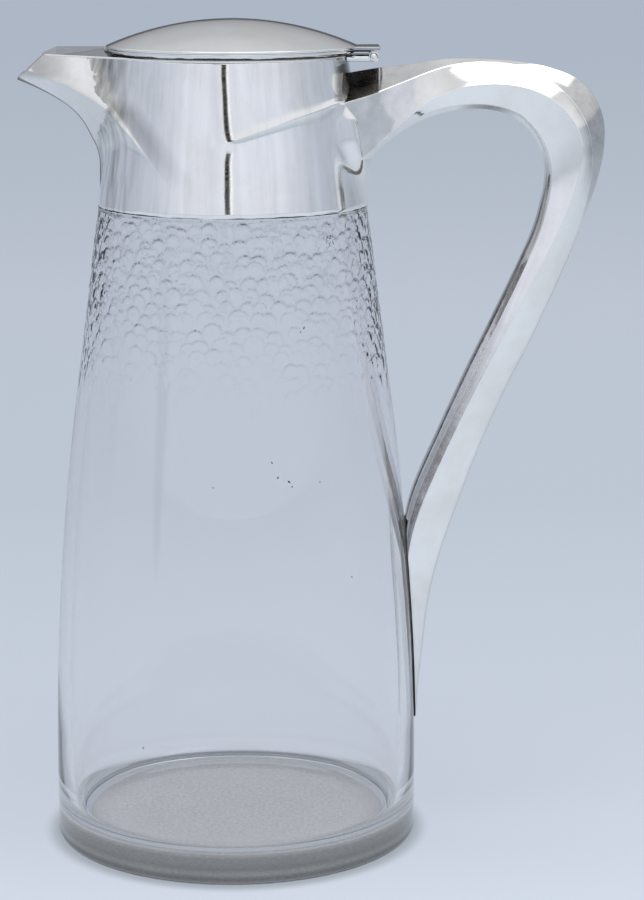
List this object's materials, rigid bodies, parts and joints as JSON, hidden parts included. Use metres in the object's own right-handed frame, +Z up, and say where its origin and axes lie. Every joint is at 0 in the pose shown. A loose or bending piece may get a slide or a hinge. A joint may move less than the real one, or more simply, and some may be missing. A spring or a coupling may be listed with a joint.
{
  "type": "claret jug",
  "caption": "Tall tapering glass jug with a silver collar, faceted spout, hinged domed lid and a hollow loop handle.",
  "frame": {"origin": "centre of the flat underside of the glass foot", "axes": "+Z up along the vessel's axis, -X towards the spout, +X towards the handle"},
  "size_m": [0.1753, 0.1112, 0.2506],
  "materials": {
    "glass": "clear hand-cut glass, hammered below the collar",
    "silver": "polished silver with fine wear",
    "plaster": "matt plaster",
    "old_cement": "dark aged cement"
  },
  "bodies": {
    "jug": {"glass_body": "glass", "neck_cement": "plaster", "neck_seat_ring": "silver", "collar_band": "silver", "rim_ring": "silver", "spout_near_side": "silver", "spout_far_side": "silver", "spout_cover": "silver", "handle_near_half": "silver", "handle_far_half": "silver", "hinge_bracket": "silver", "bracket_knuckles": "silver", "hinge_pin": "silver", "tail_cement": "old_cement"},
    "lid": {"lid_dome": "silver", "lid_bezel": "silver", "lid_flange": "silver", "lid_leaf": "silver", "lid_knuckle": "silver"}
  },
  "joints": [
    {"name": "lid_hinge", "type": "hinge", "parent": "jug", "child": "lid", "pos_m": [0.042, 0, 0.2398], "axis": [0, 1, 0], "range_deg": [0, 100]}
  ]
}
